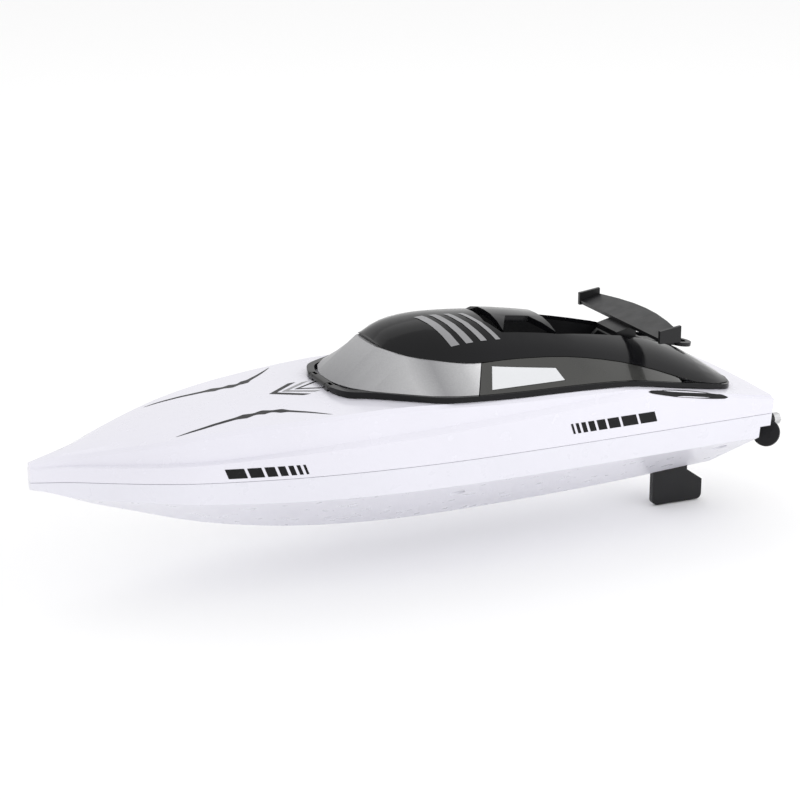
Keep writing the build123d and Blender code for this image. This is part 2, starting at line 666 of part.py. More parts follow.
def dome_half(x, inset):
    """Roof outline at x from the port edge to the crown, moved in by an inset."""
    edge, base = half_beam * fair(belt_line, station(x)) - inset, belt_at(x)
    rise = seam_z + roof_height * fair(crown_line, station(x)) - base - inset
    return [(edge * u, base + rise * (1 - u ** dome_power)) for u in dome_points]


def arch_section(x):
    """Outline of the roof shell at x."""
    outer, inner = dome_half(x, 0.0), dome_half(x, cabin_wall)
    across = outer + [(-y, z) for y, z in reversed(outer) if y > 0]
    back = [(-y, z) for y, z in inner] + [(y, z) for y, z in reversed(inner) if y > 0]
    return across + back + [across[0]]


def core_section(x):
    """Outline of the room under the roof at x, open down to the deck."""
    half = dome_half(x, cabin_wall + 0.15)
    return closed([(half[0][0], seam_z)] + half)


def cover_section(x):
    """Outline of the roof at x filled down to the deck."""
    half = dome_half(x, 0.0)
    return closed([(half[0][0], seam_z)] + half)


def section_loft(section, shares):
    """Loft through sections across the boat at the given shares of the hull length."""
    with BuildPart() as form:
        for share in shares:
            with BuildSketch(cross_plane(at(share))):
                with BuildLine():
                    Polyline(*section(at(share)))
                make_face()
        loft(ruled=True)
    return form.part


def leaning_wall(feet, tops, wall):
    """Loft a leaning wall from foot points to top points, cut level at both edges."""
    with BuildPart() as form:
        for foot, top in zip(feet, tops):
            run = math.hypot(top[0] - foot[0], top[1] - foot[1])
            rise = top[2] - foot[2]
            level = min(wall * math.hypot(run, rise) / rise, 2.2 * wall)
            inward = ((top[0] - foot[0]) / run, (top[1] - foot[1]) / run, 0)
            leaning = Plane(origin=(foot[0], foot[1], 0), x_dir=inward, z_dir=(inward[1], -inward[0], 0))
            with BuildSketch(leaning):
                with BuildLine():
                    Polyline((0, foot[2]), (run, top[2]), (run + level, top[2]), (level, foot[2]),
                             (0, foot[2]))
                make_face()
        loft(ruled=True)
    return form.part


# ---------------------------------------------------------------------------------------------
# Base trim, which carries the hinge pins
# ---------------------------------------------------------------------------------------------
slab = section_loft(slab_section, [0.37 + 0.025 * i for i in range(25)])
trim_shares = [s0 + (s1 - s0) * k / 3 for (s0, _), (s1, _) in zip(trim_line, trim_line[1:]) for k in range(3)]
trim_plan = [(at(s), half_beam * fair(trim_line, s)) for s in trim_shares + [cabin_rear]]
trim_nose = (block((hinge_x, -far, 0), (far, far, far))
             - cross_rod(hinge_x, hinge_z, -half_beam, half_beam, hinge_radius))

with BuildPart() as base_trim:
    add(plan_prism(trim_plan, seam_z, seam_z + 40))
    add(plan_prism(trim_plan, 0, far, -trim_width), mode=Mode.SUBTRACT)
    add(slab, mode=Mode.INTERSECT)
    add(trim_nose, mode=Mode.SUBTRACT)
    for side in (-1, 1):
        low, high = sorted((side * (hinge_y - hinge_lug / 2 - part_gap),
                            side * (hinge_y + hinge_lug / 2 + part_gap)))
        add(block((hinge_x - 1.5, low, 0), (far, high, far)), mode=Mode.SUBTRACT)
        add(cross_rod(hinge_x, hinge_z, low - 2, high + 2, hinge_pin_radius), mode=Mode.SUBTRACT)
base_trim.part.label = "base_trim"
export_step(base_trim.part, "parts/base_trim.step")

with BuildPart() as hinge_pins:
    for side in (-1, 1):
        low, high = sorted((side * (hinge_y - 3.4), side * (hinge_y + 3.4)))
        add(cross_rod(hinge_x, hinge_z, low, high, hinge_pin_radius))
hinge_pins.part.label = "hinge_pins"
export_step(hinge_pins.part, "parts/hinge_pins.step")

# ---------------------------------------------------------------------------------------------
# Windscreen, side frames and side windows
# ---------------------------------------------------------------------------------------------
edge_gap = 0.25            # between the glass and the roof edge


def screen_points(line, heights):
    """Points round the windscreen from port to starboard."""
    port = [(at(s), half_beam * v, heights(at(s), v)) for s, v in line]
    return list(reversed(port)) + [(x, -y, z) for x, y, z in port[1:]]


def screen_foot_z(x, v):
    return trim_top_at(x) + fit_gap


def screen_top_z(x, v):
    return min(seam_z + roof_height * screen_front_height, belt_at(x) - edge_gap)


with BuildPart() as windscreen:
    add(leaning_wall(screen_points(screen_foot, screen_foot_z),
                     screen_points(screen_top, screen_top_z), cabin_wall))
windscreen.part.label = "windscreen"
export_step(windscreen.part, "parts/windscreen.step")

frame_stations = ([frame_front + 0.0006, 0.565, 0.58] + [s for s in roof_stations if 0.585 < s < frame_rear]
                  + [frame_rear])
window_outline = [(at(0.5742), seam_z + 25.4), (at(0.588), seam_z + 32.3), (at(0.677), seam_z + 29.2),
                  (at(0.683), seam_z + 25.0)]
window_gap = 0.15

for side, word in ((1, "left"), (-1, "right")):
    feet, tops = [], []
    for s in frame_stations:
        x = at(s)
        raked = s + pillar_rake * max(0.0, 1 - (s - frame_front) / rake_fade)
        feet.append((x, side * (half_beam * fair(trim_line, s) - glass_inset), trim_top_at(x) + fit_gap))
        tops.append((at(raked), side * half_beam * fair(belt_line, raked), belt_at(at(raked)) - edge_gap))
    frame = leaning_wall(feet, tops, cabin_wall)
    y_low, y_high = sorted((0, side * far))

    with BuildPart() as side_frame:
        add(frame)
        add(side_prism(window_outline, y_low, y_high), mode=Mode.SUBTRACT)
    side_frame.part.label = f"side_frame_{word}"
    export_step(side_frame.part, f"parts/side_frame_{word}.step")

    pane = [(window_outline[0][0] - window_gap, window_outline[0][1] + window_gap),
            (window_outline[1][0] - window_gap, window_outline[1][1] - window_gap),
            (window_outline[2][0] + window_gap, window_outline[2][1] - window_gap),
            (window_outline[3][0] + window_gap, window_outline[3][1] + window_gap)]
    with BuildPart() as side_window:
        add(frame)
        add(side_prism(pane, y_low, y_high), mode=Mode.INTERSECT)
    side_window.part.label = f"side_window_{word}"
    export_step(side_window.part, f"parts/side_window_{word}.step")

# ---------------------------------------------------------------------------------------------
# Roof with its cockpit opening, the air scoop that bridges it, and the tub below
# ---------------------------------------------------------------------------------------------
well = [(at(0.606), 11.0), (at(0.6209), 18.0), (at(0.7036), 18.0), (at(0.7947), 13.5), (at(0.8477), 10.0),
        (at(0.9205), 7.5)]
scoop_plan = [(at(0.6225), 17.9), (at(0.6424), 7.5), (at(0.678), 6.5), (at(0.7), 17.9)]
scoop_proud = 0.8
scoop_depth = 1.8
vent_outline = [(at(0.638), seam_z + 41.2), (at(0.643), seam_z + 43.6), (at(0.672), seam_z + 40.4)]
tub_wall = 1.4
well_floor = [(at(0.5), 30.0), (at(0.702), 30.0), (at(0.8477), 24.5), (at(0.8527), 17.6), (at(0.94), 16.4)]
keeper_x = at(0.8875)
keeper_slot = 3.6


def below(drop):
    """Everything under the cockpit floor, lowered by a drop."""
    line = [(x, seam_z + z - drop) for x, z in well_floor]
    return side_prism(line + [(line[-1][0], 0), (line[0][0], 0)], -far, far)


with BuildPart() as roof_shell:
    add(section_loft(arch_section, roof_stations))
    add(plan_prism(well, 0, far), mode=Mode.SUBTRACT)
roof_shell.part.label = "roof_shell"
export_step(roof_shell.part, "parts/roof_shell.step")

well_stations = [s for s in roof_stations if 0.58 < s < 0.94]
roof_cover = section_loft(cover_section, well_stations)
roof_core = section_loft(core_section, well_stations)

with BuildPart() as air_scoop:
    add(Pos(0, 0, scoop_proud) * roof_cover)
    add(plan_prism(scoop_plan, 0, far), mode=Mode.INTERSECT)
    add(Pos(0, 0, -scoop_depth) * roof_cover, mode=Mode.SUBTRACT)
    add(side_prism(vent_outline, -far, -8), mode=Mode.SUBTRACT)
    add(side_prism(vent_outline, 8, far), mode=Mode.SUBTRACT)
air_scoop.part.label = "air_scoop"
export_step(air_scoop.part, "parts/air_scoop.step")

with BuildPart() as cockpit_tub:
    add(plan_prism(well, seam_z, seam_z + 60, tub_wall))
    add(roof_core, mode=Mode.INTERSECT)
    add(below(tub_wall), mode=Mode.SUBTRACT)
    add(plan_prism(well, seam_z, far) - below(0.0), mode=Mode.SUBTRACT)
    add(block((keeper_x - keeper_slot, -4.2, 0), (keeper_x + keeper_slot, 4.2, seam_z + 20)),
        mode=Mode.SUBTRACT)
cockpit_tub.part.label = "cockpit_tub"
export_step(cockpit_tub.part, "parts/cockpit_tub.step")

# ---------------------------------------------------------------------------------------------
# Rear wing on its pylon
# ---------------------------------------------------------------------------------------------
wing_front_x = at(0.8278)
wing_half = 34.0
wing_chord_end = 9.0
wing_chord_middle = 13.5
wing_thickness = 1.6
wing_angle = 14.0
wing_z = seam_z + 35.5
end_plate = 1.5

wing_plane = Plane(origin=(wing_front_x, 0, wing_z), x_dir=(math.cos(math.radians(wing_angle)), 0,
                                                             -math.sin(math.radians(wing_angle))),
                   z_dir=(math.sin(math.radians(wing_angle)), 0, math.cos(math.radians(wing_angle))))
wing_port = [(0, wing_half), (-wing_chord_end, wing_half), (-wing_chord_middle + 1.8, 0.6 * wing_half),
             (-wing_chord_middle + 0.4, 0.28 * wing_half), (-wing_chord_middle, 0)]
with BuildPart() as rear_wing:
    with BuildSketch(wing_plane):
        with BuildLine():
            Polyline(*wing_port, *[(x, -y) for x, y in reversed(wing_port[:-1])], wing_port[0])
        make_face()
    extrude(amount=-wing_thickness / 2, both=True)
    for side in (-1, 1):
        low, high = sorted((side * (wing_half - end_plate / 2), side * (wing_half + end_plate / 2)))
        add(side_prism([(wing_front_x + 0.4, wing_z - 1.2), (wing_front_x + 0.4, wing_z + 4),
                        (wing_front_x - 9.3, wing_z + 5.3), (wing_front_x - 9.3, wing_z - 1.4)], low, high))
rear_wing.part.label = "rear_wing"
export_step(rear_wing.part, "parts/rear_wing.step")

pylon_front_x = at(0.8096)
pylon_rear_x = at(0.8394)
pylon_half = 8.5


def well_floor_at(x):
    """Height of the cockpit floor at x."""
    pairs = list(zip(well_floor, well_floor[1:]))
    (x0, z0), (x1, z1) = [pair for pair in pairs if pair[1][0] <= x <= pair[0][0]][0]
    return seam_z + z0 + (z1 - z0) * (x - x0) / (x1 - x0)


def wing_under(x):
    """Height of the underside of the wing, or of its plane carried forward, at x."""
    return wing_z + (wing_front_x - x) * math.tan(math.radians(wing_angle)) - wing_thickness / 2 - fit_gap


with BuildPart() as wing_pylon:
    add(side_prism([(pylon_front_x + 5, well_floor_at(pylon_front_x + 5) + fit_gap),
                    (pylon_front_x, seam_z + 31), (pylon_front_x, wing_under(pylon_front_x)),
                    (pylon_rear_x, wing_under(pylon_rear_x)),
                    (pylon_rear_x, well_floor_at(pylon_rear_x) + fit_gap)],
                   -pylon_half, pylon_half))
    add(side_prism([(pylon_front_x + 9, seam_z + 31.5), (pylon_front_x + 9, 0), (pylon_front_x + 0.5, 0),
                    (pylon_front_x + 0.5, seam_z + 31.5)], -pylon_half + 2, pylon_half - 2),
        mode=Mode.SUBTRACT)
wing_pylon.part.label = "wing_pylon"
export_step(wing_pylon.part, "parts/wing_pylon.step")

# ---------------------------------------------------------------------------------------------
# Cabin latch: bracket and pin in the cabin, lever with finger ring, keeper on the deck
# ---------------------------------------------------------------------------------------------
latch_x = at(0.8593)
latch_z = seam_z + 25.5
latch_pin_radius = 0.8
latch_eye = 2.2
latch_arm_half = 3.6
latch_length = 19.5        # pivot to the centre of the finger ring
latch_slope_deg = 9.0
ring_radius = 5.4
ring_hole = 3.1
latch_thickness = 1.6

with BuildPart() as latch_bracket:
    foot_z = well_floor_at(latch_x - 5) + 0.5
    add(block((latch_x - 6, -7.0, foot_z), (latch_x - 0.6, 7.0, foot_z + 1.6)))
    for side in (-1, 1):
        low, high = sorted((side * (latch_arm_half + part_gap + 0.1), side * 6.4))
        add(side_prism([(latch_x - 5.5, foot_z), (latch_x - 0.6, foot_z), (latch_x + 2.2, latch_z - 1.5),
                        (latch_x + 2.2, latch_z + 1), (latch_x + 1, latch_z + 2.2),
                        (latch_x - 1, latch_z + 2.2),
                        (latch_x - 2.4, latch_z + 0.5)], low, high))
    add(cross_rod(latch_x, latch_z, -8, 8, latch_pin_radius), mode=Mode.SUBTRACT)
latch_bracket.part.label = "latch_bracket"
export_step(latch_bracket.part, "parts/latch_bracket.step")

with BuildPart() as latch_pin:
    add(cross_rod(latch_x, latch_z, -6.6, 6.6, latch_pin_radius))
latch_pin.part.label = "latch_pin"
export_step(latch_pin.part, "parts/latch_pin.step")

arm = math.radians(latch_slope_deg)
lever_plane = Plane(origin=(latch_x, 0, latch_z),
                    x_dir=(-math.cos(arm), 0, -math.sin(arm)), z_dir=(-math.sin(arm), 0, math.cos(arm)))
with BuildPart() as latch_lever:
    add(cross_rod(latch_x, latch_z, -latch_arm_half, latch_arm_half, latch_eye))
    with BuildSketch(lever_plane):
        with Locations((latch_length / 2, 0)):
            Rectangle(latch_length, 2 * latch_arm_half)
        with Locations((latch_length, 0)):
            Circle(ring_radius)
            Circle(ring_hole, mode=Mode.SUBTRACT)
    extrude(amount=latch_thickness)
    add(block((keeper_x - 3.6, -2.5, seam_z + 18.4), (keeper_x - 2.0, 2.5, latch_z - 1.0)))
    add(cross_rod(latch_x, latch_z, -9, 9, latch_pin_radius + shaft_clearance), mode=Mode.SUBTRACT)
latch_lever.part.label = "latch_lever"
export_step(latch_lever.part, "parts/latch_lever.step")

with BuildPart() as latch_keeper:
    add(block((keeper_x - 1.5, -3.0, seam_z + 8), (keeper_x + 1.5, 3.0, seam_z + 19.8)))
    add(upper_outside, mode=Mode.SUBTRACT)
latch_keeper.part.label = "latch_keeper"
export_step(latch_keeper.part, "parts/latch_keeper.step")
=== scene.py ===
import json
import math

import bmesh
import bpy
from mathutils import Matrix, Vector
from mathutils.bvhtree import BVHTree


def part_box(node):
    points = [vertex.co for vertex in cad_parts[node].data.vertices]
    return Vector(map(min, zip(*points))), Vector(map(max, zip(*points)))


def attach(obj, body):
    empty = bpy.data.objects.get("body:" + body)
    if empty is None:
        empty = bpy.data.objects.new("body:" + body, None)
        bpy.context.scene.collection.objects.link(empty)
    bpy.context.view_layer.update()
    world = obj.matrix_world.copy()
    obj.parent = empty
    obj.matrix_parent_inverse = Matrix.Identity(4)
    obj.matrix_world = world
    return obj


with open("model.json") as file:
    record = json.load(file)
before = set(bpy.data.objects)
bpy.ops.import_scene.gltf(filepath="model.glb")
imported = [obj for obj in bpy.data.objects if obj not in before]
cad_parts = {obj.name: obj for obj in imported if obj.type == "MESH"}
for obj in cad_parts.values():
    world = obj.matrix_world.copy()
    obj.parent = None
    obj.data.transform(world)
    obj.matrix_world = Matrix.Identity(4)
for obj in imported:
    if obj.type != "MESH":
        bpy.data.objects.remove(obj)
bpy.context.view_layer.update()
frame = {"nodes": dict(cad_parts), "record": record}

# Remote-control speedboat: materials, deck and side graphics, camera and light.
# Metres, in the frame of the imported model: +X to the bow, +Y to port, +Z up.

MM = 0.001
nodes = frame["nodes"]

deck_low, deck_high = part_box("upper_deck")
_, hull_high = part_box("lower_hull")
bow = deck_high.x
length = deck_high.x - deck_low.x
seam = hull_high.z


def at(share):
    """Place along the boat at a share of the hull length from the bow."""
    return bow - share * length


# ------------------------------------------------------------------------------------------
# Node-tree helpers
# ------------------------------------------------------------------------------------------
def new_material(name, colour, roughness, metallic=0.0, coat=0.0, coat_roughness=0.05, specular=0.5):
    """A principled material with its even values set on the shader itself."""
    material = bpy.data.materials.new(name)
    material.use_nodes = True
    shader = material.node_tree.nodes["Principled BSDF"]
    shader.inputs["Base Color"].default_value = (*colour, 1.0)
    shader.inputs["Roughness"].default_value = roughness
    shader.inputs["Metallic"].default_value = metallic
    shader.inputs["Coat Weight"].default_value = coat
    shader.inputs["Coat Roughness"].default_value = coat_roughness
    shader.inputs["Specular IOR Level"].default_value = specular
    return material, material.node_tree, shader


def noise(tree, scale, detail=3.0, stretch=(1.0, 1.0, 1.0)):
    """Noise over the object's own coordinates, in features per metre."""
    place = tree.nodes.new("ShaderNodeTexCoord")
    mapping = tree.nodes.new("ShaderNodeMapping")
    mapping.inputs["Scale"].default_value = stretch
    texture = tree.nodes.new("ShaderNodeTexNoise")
    texture.inputs["Scale"].default_value = scale
    texture.inputs["Detail"].default_value = detail
    tree.links.new(place.outputs["Object"], mapping.inputs["Vector"])
    tree.links.new(mapping.outputs["Vector"], texture.inputs["Vector"])
    return texture.outputs["Fac"]


def ramp(tree, value, stops):
    """Colour ramp through (position, colour) stops."""
    node = tree.nodes.new("ShaderNodeValToRGB")
    elements = node.color_ramp.elements
    while len(elements) < len(stops):
        elements.new(0.5)
    for element, (position, colour) in zip(elements, stops):
        element.position = position
        element.color = (*colour, 1.0)
    tree.links.new(value, node.inputs["Fac"])
    return node.outputs["Color"]


def spread(tree, value, low, high):
    """A 0 to 1 value carried to a range of grey values."""
    node = tree.nodes.new("ShaderNodeMapRange")
    node.inputs["From Min"].default_value = 0.3
    node.inputs["From Max"].default_value = 0.7
    node.inputs["To Min"].default_value = low
    node.inputs["To Max"].default_value = high
    tree.links.new(value, node.inputs["Value"])
    return node.outputs["Result"]


def bump(tree, shader, height, strength, distance):
    node = tree.nodes.new("ShaderNodeBump")
    node.inputs["Strength"].default_value = strength
    node.inputs["Distance"].default_value = distance
    tree.links.new(height, node.inputs["Height"])
    tree.links.new(node.outputs["Normal"], shader.inputs["Normal"])


def moulded(name, colour, roughness, vary=0.04, grain=900.0, depth=0.25, coat=0.0, metallic=0.0,
            specular=0.5):
    """Moulded plastic: slight tone changes, uneven gloss and the fine texture of the mould."""
    material, tree, shader = new_material(name, colour, roughness, metallic, coat, 0.05, specular)
    dark = tuple(c * (1.0 - vary) for c in colour)
    light = tuple(min(1.0, c * (1.0 + vary)) for c in colour)
    tone = noise(tree, 22.0, 2.0)
    tree.links.new(ramp(tree, tone, [(0.35, dark), (0.65, light)]), shader.inputs["Base Color"])
    gloss = noise(tree, 140.0, 4.0)
    uneven = spread(tree, gloss, roughness * 0.85, min(1.0, roughness * 1.2))
    tree.links.new(uneven, shader.inputs["Roughness"])
    bump(tree, shader, noise(tree, grain, 2.0), depth, 0.00006)
    return material


def machined(name, colour, roughness, stretch):
    """Turned or drawn metal with fine lines across the stretch direction."""
    material, tree, shader = new_material(name, colour, roughness, 1.0)
    lines = noise(tree, 2400.0, 2.0, stretch)
    dark = tuple(c * 0.82 for c in colour)
    tree.links.new(ramp(tree, lines, [(0.3, dark), (0.7, colour)]), shader.inputs["Base Color"])
    tree.links.new(spread(tree, lines, roughness * 0.8, roughness * 1.3), shader.inputs["Roughness"])
    bump(tree, shader, lines, 0.2, 0.00004)
    return material


def screen_material():
    """Silver paint with a fine sparkle and painted reflection along it: dark at the bow end, a dark band
    two thirds of the way aft, bright at the aft end.
    """
    material, tree, shader = new_material("screen_silver_painted_reflection", (0.55, 0.56, 0.57), 0.42, 0.35, 0.2, 0.25)
    low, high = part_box("windscreen")
    place = tree.nodes.new("ShaderNodeTexCoord")
    split = tree.nodes.new("ShaderNodeSeparateXYZ")
    tree.links.new(place.outputs["Object"], split.inputs["Vector"])
    along = tree.nodes.new("ShaderNodeMapRange")
    along.inputs["From Min"].default_value = high.x
    along.inputs["From Max"].default_value = low.x
    tree.links.new(split.outputs["X"], along.inputs["Value"])
    # Painted reflection: a grey ramp from the bow end aft stands in for the light mirrored on the screen.
    painted_reflection = ramp(tree, along.outputs["Result"], [(0.0, (0.28, 0.28, 0.29)), (0.3, (0.42, 0.42, 0.43)),
                                                 (0.45, (0.5, 0.5, 0.51)), (0.62, (0.3, 0.3, 0.31)),
                                                 (0.82, (0.5, 0.5, 0.51)), (1.0, (0.88, 0.88, 0.89))])
    sparkle = ramp(tree, noise(tree, 3500.0, 2.0), [(0.35, (0.8, 0.8, 0.8)), (0.7, (1.0, 1.0, 1.0))])
    mix = tree.nodes.new("ShaderNodeMix")
    mix.data_type = "RGBA"
    mix.blend_type = "MULTIPLY"
    mix.inputs["Factor"].default_value = 1.0
    tree.links.new(painted_reflection, mix.inputs["A"])
    tree.links.new(sparkle, mix.inputs["B"])
    tree.links.new(mix.outputs["Result"], shader.inputs["Base Color"])
    bump(tree, shader, noise(tree, 1500.0, 3.0), 0.15, 0.00004)
    return material


def board_material():
    """Green lacquered board with pale tracks."""
    material, tree, shader = new_material("board_lacquer", (0.03, 0.18, 0.07), 0.35, 0.0, 0.4)
    tracks = noise(tree, 260.0, 0.0, (1.0, 4.0, 1.0))
    tree.links.new(ramp(tree, tracks, [(0.47, (0.02, 0.13, 0.05)), (0.5, (0.08, 0.3, 0.12)),
                                       (0.53, (0.02, 0.13, 0.05))]), shader.inputs["Base Color"])
    bump(tree, shader, tracks, 0.3, 0.0001)
    return material


looks = {
    "hull_white": moulded("hull_white_gloss", (0.77, 0.76, 0.83), 0.24, 0.012, 260.0, 0.04, 0.25),
    # The lower hull's white is a touch darker than the deck's: painted shade for the downward-facing
    # underside.
    "hull_lower_white": moulded("hull_lower_gloss_painted_shade", (0.76, 0.755, 0.82), 0.3, 0.012, 260.0, 0.04),
    "gloss_black": moulded("black_gloss", (0.005, 0.005, 0.006), 0.14, 0.25, 320.0, 0.03, 0.0, 0.0, 0.22),
    "satin_black": moulded("black_satin", (0.007, 0.007, 0.008), 0.36, 0.2, 1400.0, 0.3, 0.0, 0.0, 0.3),
    "screen_silver": screen_material(),
    "frame_grey": moulded("frame_gunmetal", (0.045, 0.045, 0.042), 0.3, 0.2, 1800.0, 0.2, 0.6, 0.6),
    "window_white": moulded("window_pearl", (0.72, 0.73, 0.75), 0.18, 0.05, 500.0, 0.08, 0.8, 0.2),
    "seal_rubber": moulded("seal_rubber_black", (0.02, 0.02, 0.02), 0.8, 0.3, 900.0, 0.5),
    "steel": machined("steel_turned", (0.62, 0.62, 0.63), 0.28, (0.1, 1.0, 1.0)),
    "brass": machined("brass_turned", (0.78, 0.6, 0.3), 0.25, (0.1, 1.0, 1.0)),
    "board_green": board_material(),
    "battery_wrap": moulded("battery_wrap_blue", (0.03, 0.1, 0.35), 0.3, 0.15, 300.0, 0.4, 0.5),
    "switch_red": moulded("switch_red_plastic", (0.55, 0.03, 0.02), 0.35, 0.1, 900.0, 0.3),
}


# ------------------------------------------------------------------------------------------
# Smooth shading of the curved mouldings
# ------------------------------------------------------------------------------------------
def smooth_group(angle_deg):
    """Geometry nodes that weld the facets of a moulding and shade it smooth up to an angle."""
    group = bpy.data.node_groups.new(f"smooth_{angle_deg}", "GeometryNodeTree")
    group.interface.new_socket("Geometry", in_out="INPUT", socket_type="NodeSocketGeometry")
    group.interface.new_socket("Geometry", in_out="OUTPUT", socket_type="NodeSocketGeometry")
    start = group.nodes.new("NodeGroupInput")
    finish = group.nodes.new("NodeGroupOutput")
    clear = group.nodes.new("GeometryNodeRemoveAttribute")
    clear.inputs["Name"].default_value = "custom_normal"
    weld = group.nodes.new("GeometryNodeMergeByDistance")
    weld.inputs["Distance"].default_value = 0.000002
    faces = group.nodes.new("GeometryNodeSetShadeSmooth")
    faces.domain = "FACE"
    edges = group.nodes.new("GeometryNodeSetShadeSmooth")
    edges.domain = "EDGE"
    edges.inputs["Shade Smooth"].default_value = False
    turn = group.nodes.new("GeometryNodeInputMeshEdgeAngle")
    sharp = group.nodes.new("FunctionNodeCompare")
    sharp.data_type = "FLOAT"
    sharp.operation = "GREATER_THAN"
    sharp.inputs["B"].default_value = math.radians(angle_deg)
    link = group.links.new
    link(start.outputs["Geometry"], clear.inputs["Geometry"])
    link(clear.outputs["Geometry"], weld.inputs["Geometry"])
    link(weld.outputs["Geometry"], faces.inputs["Geometry"])
    link(faces.outputs["Geometry"], edges.inputs["Geometry"])
    link(turn.outputs["Unsigned Angle"], sharp.inputs["A"])
    link(sharp.outputs["Result"], edges.inputs["Selection"])
    link(edges.outputs["Geometry"], finish.inputs["Geometry"])
    return group


soft_edges = smooth_group(24)
for name, piece in nodes.items():
    modifier = piece.modifiers.new("smooth", "NODES")
    modifier.node_group = soft_edges

slots = {entry["node"]: entry["material_slot"] for entry in frame["record"]["subparts"]}
for name, piece in nodes.items():
    look = looks[slots[name]]
    piece.data.materials.clear()
    piece.data.materials.append(look)


# ------------------------------------------------------------------------------------------
# Graphics laid on the mouldings
# ------------------------------------------------------------------------------------------
def surface(node):
    """Search tree over a CAD node's faces, for laying film on it."""
    mesh = nodes[node].data
    return BVHTree.FromPolygons([v.co for v in mesh.vertices], [p.vertices for p in mesh.polygons])


def film(name, node, body, rows, direction, material, lift=0.00006):
    """A thin film over rows of points, each dropped along a direction onto a CAD node."""
    tree = surface(node)
    way = Vector(direction).normalized()
    mesh = bmesh.new()
    grid = []
    for row in rows:
        line = []
        for point in row:
            hit, normal, _, _ = tree.ray_cast(Vector(point) - way * 0.2, way)
            if normal.dot(way) > 0:
                normal = -normal
            line.append(mesh.verts.new(hit + normal * lift))
        grid.append(line)
    for a, b in zip(grid, grid[1:]):
        for i in range(len(a) - 1):
            mesh.faces.new((a[i], a[i + 1], b[i + 1], b[i]))
    bmesh.ops.recalc_face_normals(mesh, faces=mesh.faces)
    data = bpy.data.meshes.new(name)
    mesh.to_mesh(data)
    mesh.free()
    for face in data.polygons:
        face.use_smooth = True
    piece = bpy.data.objects.new(name, data)
    bpy.context.scene.collection.objects.link(piece)
    piece.data.materials.append(material)
    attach(piece, body)
    return piece


def curve_point(points, t):
    """Point at t from 0 to 1 on a smooth line through the points (x, y), in metres."""
    span = t * (len(points) - 1)
    i = min(int(span), len(points) - 2)
    u = span - i
    p0 = Vector(points[max(i - 1, 0)])
    p1, p2 = Vector(points[i]), Vector(points[i + 1])
    p3 = Vector(points[min(i + 2, len(points) - 1)])
    return 0.5 * (2 * p1 + (p2 - p0) * u + (2 * p0 - 5 * p1 + 4 * p2 - p3) * u * u
                  + (3 * p1 - p0 - 3 * p2 + p3) * u ** 3)


ink = moulded("graphic_ink_black", (0.006, 0.006, 0.007), 0.4, 0.2, 900.0, 0.2, 0.0, 0.0, 0.2)
ink_grey = moulded("graphic_ink_silver", (0.3, 0.3, 0.31), 0.3, 0.15, 900.0, 0.2, 0.0, 0.5)

# Sweeping stripe on each side of the foredeck, with barbs along its middle
stripe_line = [(at(0.170), 20.4 * MM), (at(0.2033), 20.2 * MM), (at(0.258), 18.9 * MM),
               (at(0.2983), 19.3 * MM), (at(0.3311), 25.9 * MM), (at(0.3603), 34.3 * MM)]
stripe_steps = 90
stripe_width = 4.4 * MM


def stripe_half(t):
    """Half-width along the stripe: needle ends and three barbs."""
    swell = math.sin(math.pi * t) ** 0.8
    barbs = sum(max(0.0, 1 - abs(t - c) / 0.05) for c in (0.42, 0.54, 0.66))
    return 0.5 * stripe_width * swell * (0.5 + 0.5 * barbs)


for side, word in ((1, "left"), (-1, "right")):
    rows = []
    for k in range(stripe_steps + 1):
        t = k / stripe_steps
        middle = curve_point(stripe_line, t)
        ahead = curve_point(stripe_line, min(1.0, t + 0.01)) - curve_point(stripe_line, max(0.0, t - 0.01))
        across = Vector((-ahead.y, ahead.x)).normalized() * max(stripe_half(t), 0.02 * MM)
        rows.append([(middle.x + across.x * s, side * (middle.y + across.y * s), 0.1)
                     for s in (-1, -0.33, 0.33, 1)])
    film(f"deck_stripe_{word}", "upper_deck", "hull", rows, (0, 0, -1), ink)

# Nested chevrons on the foredeck, in front of the windscreen
chevron_tip = at(0.318)
for k in range(3):
    reach, half, wide = 11 * MM, (8.5 - 1.6 * k) * MM, (3.2 - 0.4 * k) * MM
    rows = []
    for j in range(-12, 13):
        y = half * j / 12
        back = reach * abs(j) / 12
        x = chevron_tip - 5.2 * MM * k - back
        rows.append([(x - wide * s, y, 0.1) for s in (0, 0.5, 1)])
    chevron_ink = ink_grey if k == 1 else ink
    film(f"deck_chevron_{k}", "upper_deck", "hull", rows, (0, 0, -1), chevron_ink)


def slanted_bars(name, node, body, start, pitch, widths, low, high, side, material, slant=1.6 * MM):
    """Row of slanted bars on the side of the hull, from the bow end aft."""
    x = start
    for k, width in enumerate(widths):
        rows = []
        for j in range(5):
            share = j / 4
            z = low + (high - low) * share
            rows.append([(x - width * u + slant * share, side * 0.1, z) for u in (0, 0.25, 0.5, 0.75, 1)])
        film(f"{name}_{k}", node, body, rows, (0, -side, 0), material)
        x -= width + pitch


bow_bar_widths = [w * MM for w in (7.0, 5.2, 3.8, 2.8, 2.0, 1.4, 1.0)]
stern_bar_widths = [w * MM for w in (1.0, 1.4, 2.0, 2.8, 3.8, 5.2, 7.0, 7.6)]
bar_gap = 1.1 * MM
for side, word in ((1, "left"), (-1, "right")):
    slanted_bars(f"bow_bars_{word}", "upper_deck", "hull", at(0.2255), bar_gap,
                 bow_bar_widths, seam + 1.6 * MM, seam + 5.6 * MM, side, ink)
    slanted_bars(f"stern_bars_{word}", "upper_deck", "hull", at(0.687), bar_gap,
                 stern_bar_widths, seam + 4.6 * MM, seam + 9.0 * MM, side, ink)

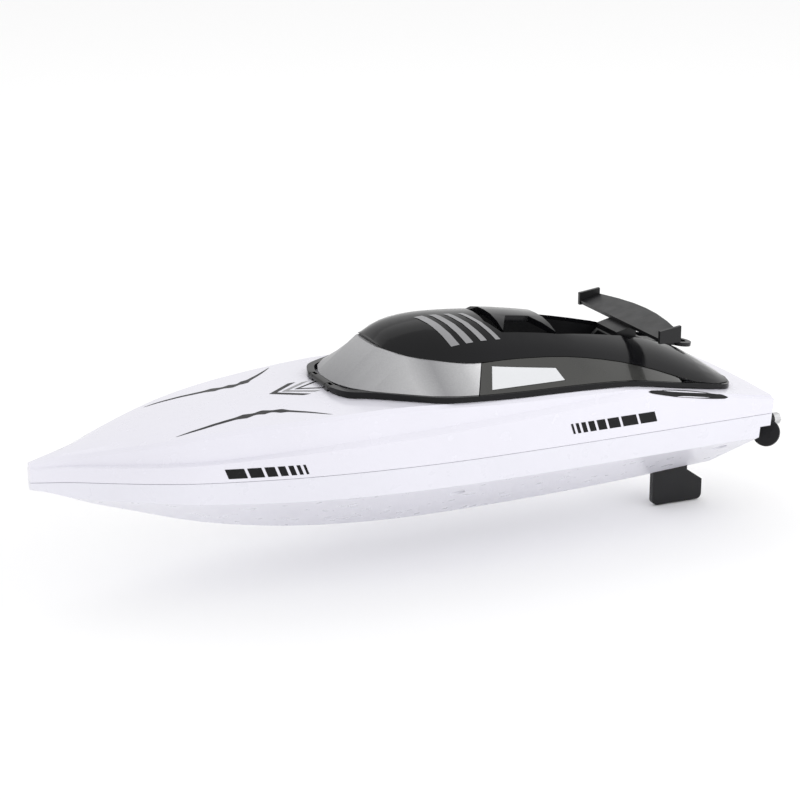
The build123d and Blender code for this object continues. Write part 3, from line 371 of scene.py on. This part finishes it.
# Slanted light bars on the port side of the roof, ahead of the air scoop
for k in range(4):
    rows = []
    for j in range(9):
        y = (3.0 + 18.0 * j / 8) * MM
        x = at(0.512) - 6.4 * MM * k - 0.45 * y
        rows.append([(x - (3.6 - 0.5 * k) * MM * s, y, 0.1) for s in (0, 0.5, 1)])
    film(f"roof_bar_{k}", "roof_shell", "cabin", rows, (0, 0, -1), ink_grey, 0.2 * MM)

# Black strip along the deck edge below the after end of the cabin
deck_tree = surface("upper_deck")
for side, word in ((1, "left"), (-1, "right")):
    rows = []
    for k in range(25):
        share = k / 24
        x = at(0.8 + 0.125 * share)
        top = deck_tree.ray_cast(Vector((x, 0, 0.2)), Vector((0, 0, -1)))[0].z - 1.2 * MM
        half = 1.1 * MM * math.sin(math.pi * share) ** 0.4 + 0.02 * MM
        rows.append([(x, side * 0.1, top - 0.9 * MM + half * s) for s in (1, 0.33, -0.33, -1)])
    film(f"deck_edge_strip_{word}", "upper_deck", "hull", rows, (0, -side, 0), ink, 0.15 * MM)

# ------------------------------------------------------------------------------------------
# Floor, light and camera
# ------------------------------------------------------------------------------------------
floor_mesh = bpy.data.meshes.new("floor")
reach = 6.0
floor_mesh.from_pydata([(-reach, -reach, 0), (reach, -reach, 0), (reach, reach, 0), (-reach, reach, 0)], [],
                       [(0, 1, 2, 3)])
floor = bpy.data.objects.new("floor", floor_mesh)
floor.location = (0, 0, -0.0005)
bpy.context.scene.collection.objects.link(floor)
pale, _, _ = new_material("floor_pale", (0.97, 0.97, 0.97), 0.9)
floor_mesh.materials.append(pale)

world = bpy.data.worlds.new("studio")
world.use_nodes = True
world.node_tree.nodes["Background"].inputs["Color"].default_value = (1.0, 1.0, 1.0, 1.0)
world.node_tree.nodes["Background"].inputs["Strength"].default_value = 0.97
bpy.context.scene.world = world


def soft_light(name, place, target, size, power):
    light = bpy.data.lights.new(name, "AREA")
    light.shape = "RECTANGLE"
    light.size, light.size_y = size
    light.energy = power
    lamp = bpy.data.objects.new(name, light)
    lamp.location = place
    lamp.rotation_euler = (Vector(target) - Vector(place)).to_track_quat("-Z", "Y").to_euler()
    bpy.context.scene.collection.objects.link(lamp)


soft_light("top_softbox", (0.0, -0.7, 1.2), (0, 0, 0.05), (1.2, 0.8), 1.5)
soft_light("near_softbox", (-0.8, 1.1, 0.35), (-0.1, 0, 0.03), (1.2, 0.6), 4.0)
soft_light("stern_strip", (-1.2, 0.3, 0.6), (0, 0, 0.06), (0.4, 0.9), 1.5)

camera_distance = 0.878
view_azimuth = math.radians(156.41)
view_elevation = math.radians(17.13)
target = Vector((at(0.5), 0.0, seam)) + Vector((-0.0005, 0.0, 0.0135))
back = Vector((math.sin(view_azimuth) * math.cos(view_elevation),
               -math.cos(view_azimuth) * math.cos(view_elevation),
               math.sin(view_elevation)))
camera_data = bpy.data.cameras.new("camera")
camera_data.sensor_width = 36.0
camera_data.lens = 99.0
camera_data.clip_start = 0.05
camera = bpy.data.objects.new("camera", camera_data)
camera.location = target + back * camera_distance
camera.rotation_euler = (-back).to_track_quat("-Z", "Y").to_euler()
bpy.context.scene.collection.objects.link(camera)
bpy.context.scene.camera = camera
bpy.context.scene.view_settings.view_transform = "Standard"
